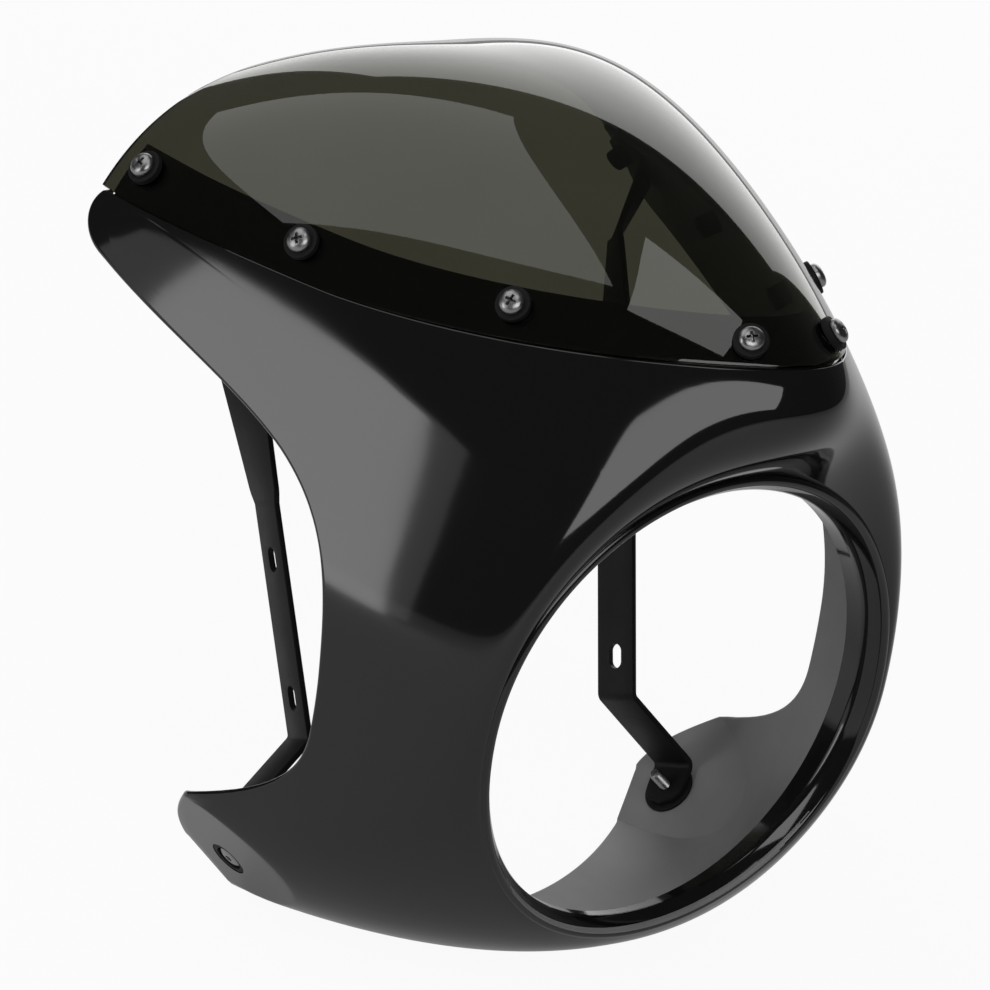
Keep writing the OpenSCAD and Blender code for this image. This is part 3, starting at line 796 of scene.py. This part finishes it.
def noise(nt, scale, detail=3.0, rough=0.55, coord="Object", distortion=0.0):
    tc = nt.nodes.new("ShaderNodeTexCoord")
    n = nt.nodes.new("ShaderNodeTexNoise")
    n.inputs["Scale"].default_value = scale
    n.inputs["Detail"].default_value = detail
    n.inputs["Roughness"].default_value = rough
    n.inputs["Distortion"].default_value = distortion
    nt.links.new(tc.outputs[coord], n.inputs["Vector"])
    return n


def ramp(nt, source, low, high, p0=0.3, p1=0.7):
    r = nt.nodes.new("ShaderNodeMapRange")
    r.inputs["From Min"].default_value = p0
    r.inputs["From Max"].default_value = p1
    r.inputs["To Min"].default_value = low
    r.inputs["To Max"].default_value = high
    nt.links.new(source, r.inputs["Value"])
    return r.outputs["Result"]


def bump(nt, b, height, strength, distance):
    n = nt.nodes.new("ShaderNodeBump")
    n.inputs["Strength"].default_value = strength
    n.inputs["Distance"].default_value = distance
    nt.links.new(height, n.inputs["Height"])
    nt.links.new(n.outputs["Normal"], b.inputs["Normal"])
    return n


def tint(nt, b, source, c0, c1, p0=0.3, p1=0.7):
    r = nt.nodes.new("ShaderNodeValToRGB")
    r.color_ramp.elements[0].position, r.color_ramp.elements[0].color = p0, (*c0, 1)
    r.color_ramp.elements[1].position, r.color_ramp.elements[1].color = p1, (*c1, 1)
    nt.links.new(source, r.inputs["Fac"])
    nt.links.new(r.outputs["Color"], b.inputs["Base Color"])


def make_materials():
    mats = {}
    mat, nt, b = material("abs_gloss_black", (0.006, 0.006, 0.0065), 0.07)
    n = noise(nt, 9, 2)
    nt.links.new(ramp(nt, n.outputs["Fac"], 0.05, 0.1), b.inputs["Roughness"])
    w = noise(nt, 24, 2, 0.4)
    bump(nt, b, w.outputs["Fac"], 0.12, 0.0006)
    mats["gloss"] = mat

    mat, nt, b = material("abs_matt_inner", (0.2, 0.2, 0.2), 0.55)
    n = noise(nt, 18, 4)
    tint(nt, b, n.outputs["Fac"], (0.18, 0.18, 0.181), (0.24, 0.24, 0.238))
    g = noise(nt, 900, 2)
    bump(nt, b, g.outputs["Fac"], 0.25, 0.0002)
    mats["matt"] = mat

    mat, nt, b = material("screen_smoke", (0.034, 0.034, 0.023), 0.0)
    b.inputs["Transmission Weight"].default_value = 1.0
    b.inputs["IOR"].default_value = 1.49
    n = noise(nt, 14, 2)
    tint(nt, b, n.outputs["Fac"], (0.032, 0.032, 0.0215), (0.037, 0.037, 0.025))
    bump(nt, b, noise(nt, 11, 1, 0.3).outputs["Fac"], 0.05, 0.0006)
    mats["smoke"] = mat

    mat, nt, b = material("steel_black_coat", (0.01, 0.01, 0.0105), 0.45, spec=0.15)
    n = noise(nt, 40, 4)
    nt.links.new(ramp(nt, n.outputs["Fac"], 0.4, 0.52), b.inputs["Roughness"])
    g = noise(nt, 520, 3)
    bump(nt, b, g.outputs["Fac"], 0.3, 0.0002)
    mats["steel"] = mat

    mat, nt, b = material("rubber", (0.007, 0.007, 0.007), 0.6, spec=0.15)
    n = noise(nt, 120, 4)
    tint(nt, b, n.outputs["Fac"], (0.005, 0.005, 0.005), (0.011, 0.011, 0.011))
    nt.links.new(ramp(nt, n.outputs["Fac"], 0.5, 0.7), b.inputs["Roughness"])
    bump(nt, b, noise(nt, 1500, 2).outputs["Fac"], 0.3, 0.0001)
    mats["rubber"] = mat

    mat, nt, b = material("zinc", (0.27, 0.27, 0.27), 0.34, metallic=1.0)
    n = noise(nt, 260, 4)
    tint(nt, b, n.outputs["Fac"], (0.22, 0.22, 0.225), (0.32, 0.32, 0.315))
    nt.links.new(ramp(nt, n.outputs["Fac"], 0.24, 0.42), b.inputs["Roughness"])
    bump(nt, b, noise(nt, 1800, 2).outputs["Fac"], 0.2, 0.0001)
    mats["zinc"] = mat
    return mats


def dress(ob, *mats):
    ob.data.materials.clear()
    for m in mats:
        ob.data.materials.append(m)


def inner_faces(ob, index):
    """Gives the wall's inner side, and the sleeve's back, the second material."""
    me = ob.data
    for p in me.polygons:
        c, n = np.array(p.center) * 1000, np.array(p.normal)
        radial = np.array([c[0], 0, c[2]])
        rr = np.linalg.norm(radial)
        faces_in = n @ (radial / max(rr, 1e-6)) < -0.15
        if rr > BORE_R + SLEEVE_T - 0.2 and c[1] > -14 and faces_in:
            p.material_index = index


# Stage
def greater(nt, a, b):
    n = nt.nodes.new("ShaderNodeMath")
    n.operation = "MAXIMUM"
    nt.links.new(a, n.inputs[0])
    nt.links.new(b, n.inputs[1])
    return n.outputs[0]


def times(nt, a, factor):
    n = nt.nodes.new("ShaderNodeMath")
    n.operation = "MULTIPLY"
    n.inputs[1].default_value = factor
    nt.links.new(a, n.inputs[0])
    return n.outputs[0]


# Share of the floor's white that reflections see, and share of white under the object
FLOOR_GLOSSY, FLOOR_WHITE, AMBIENT = 0.28, 0.94, 0.05


def stage():
    me = bpy.data.meshes.new("floor")
    s, z = 6.0, CAD_BOX[0][2] - 0.0005
    me.from_pydata([(-s, -s, z), (s, -s, z), (s, s, z), (-s, s, z)], [], [(0, 1, 2, 3)])
    floor = bpy.data.objects.new("floor", me)
    SCENE.collection.objects.link(floor)
    mat = bpy.data.materials.new("floor_white")
    mat.use_nodes = True
    nt = mat.node_tree
    nt.nodes.clear()
    out = nt.nodes.new("ShaderNodeOutputMaterial")
    path = nt.nodes.new("ShaderNodeLightPath")
    dif = nt.nodes.new("ShaderNodeBsdfDiffuse")
    dif.inputs["Color"].default_value = (0.8, 0.8, 0.8, 1)
    emi = nt.nodes.new("ShaderNodeEmission")
    emi.inputs["Strength"].default_value = 1.0
    emi.inputs["Color"].default_value = (1, 1, 1, 1)
    mul = nt.nodes.new("ShaderNodeMixShader")
    seen = greater(nt, path.outputs["Is Camera Ray"], path.outputs["Is Transmission Ray"])
    glossy = times(nt, path.outputs["Is Glossy Ray"], FLOOR_GLOSSY)
    nt.links.new(times(nt, greater(nt, seen, glossy), FLOOR_WHITE), mul.inputs[0])
    nt.links.new(dif.outputs[0], mul.inputs[1])
    nt.links.new(emi.outputs[0], mul.inputs[2])
    nt.links.new(mul.outputs[0], out.inputs[0])
    me.materials.append(mat)
    world = bpy.data.worlds.new("studio")
    SCENE.world = world
    world.use_nodes = True
    nt = world.node_tree
    nt.nodes.clear()
    out = nt.nodes.new("ShaderNodeOutputWorld")
    bg = nt.nodes.new("ShaderNodeBackground")
    white = nt.nodes.new("ShaderNodeBackground")
    bg.inputs["Color"].default_value = (1, 1, 1, 1)
    bg.inputs["Strength"].default_value = AMBIENT
    white.inputs["Color"].default_value = (1, 1, 1, 1)
    white.inputs["Strength"].default_value = 1.0
    mix = nt.nodes.new("ShaderNodeMixShader")
    path = nt.nodes.new("ShaderNodeLightPath")
    seen = greater(nt, path.outputs["Is Camera Ray"], path.outputs["Is Transmission Ray"])
    nt.links.new(seen, mix.inputs[0])
    nt.links.new(bg.outputs[0], mix.inputs[1])
    nt.links.new(white.outputs[0], mix.inputs[2])
    nt.links.new(mix.outputs[0], out.inputs[0])


def panel(name, az, el, far, w, h, power):
    """A soft box seen from the cowl at an azimuth from -Y towards +X and an elevation."""
    a, e = math.radians(az), math.radians(el)
    d = bpy.data.lights.new(name, "AREA")
    d.shape, d.size, d.size_y, d.energy = "RECTANGLE", w, h, power
    ob = bpy.data.objects.new(name, d)
    way = Vector((math.cos(e) * math.sin(a), -math.cos(e) * math.cos(a), math.sin(e)))
    ob.location = Vector((0, 0.08, 0.04)) + far * way
    ob.rotation_euler = way.to_track_quat("Z", "Y").to_euler()
    SCENE.collection.objects.link(ob)


def camera():
    """The photograph's viewing angle, matched to its outlines."""
    rot = rotation([1.91469, -0.526853, 0.62744])
    t = np.array([64.1366, 76.4132, 2694.311])
    c = -rot.T @ t * 0.001
    cam = bpy.data.cameras.new("camera")
    cam.sensor_width, cam.lens = 36, 254.5
    cam.clip_start, cam.clip_end = 0.1, 50
    ob = bpy.data.objects.new("camera", cam)
    m = Matrix.Identity(4)
    for i in range(3):
        m[i][0], m[i][1], m[i][2], m[i][3] = rot[0][i], -rot[1][i], -rot[2][i], c[i]
    ob.matrix_world = m
    SCENE.collection.objects.link(ob)
    SCENE.camera = ob


def rotation(v):
    v = np.array(v, float)
    q = np.linalg.norm(v)
    k = v / q
    K = np.array([[0, -k[2], k[1]], [k[2], 0, -k[0]], [-k[1], k[0], 0]])
    return np.eye(3) + math.sin(q) * K + (1 - math.cos(q)) * K @ K


M = make_materials()
body = cowl()
smooth(body, 38)
dress(body, M["gloss"], M["matt"])
inner_faces(body, 1)
glass = screen()
smooth(glass, 35)
dress(glass, M["smoke"])
for i in range(1, SCREWS + 1):
    dress(well_nut(i), M["rubber"])
    dress(screw(i), M["zinc"])
for s, side in ((1, "left"), (-1, "right")):
    dress(strap(s, side), M["steel"])
    dress(grommet(s, side), M["rubber"])
    dress(ear_bolt(s, side), M["zinc"])

stage()
camera()
panel("left", -106, 1, 2.0, 0.5, 1.65, 8.2)
panel("left_soft", -109, 6, 2.3, 1.0, 1.5, 3.2)
panel("top_left", -143, 54, 1.9, 1.7, 1.05, 7.4)
panel("front", -36, 32, 3.1, 2.3, 1.6, 36)
panel("overhead", -70, 70, 1.9, 0.6, 0.8, 3)
panel("rear", 135, 21, 2.2, 2.0, 1.75, 17)

SCENE.view_settings.view_transform = "Standard"
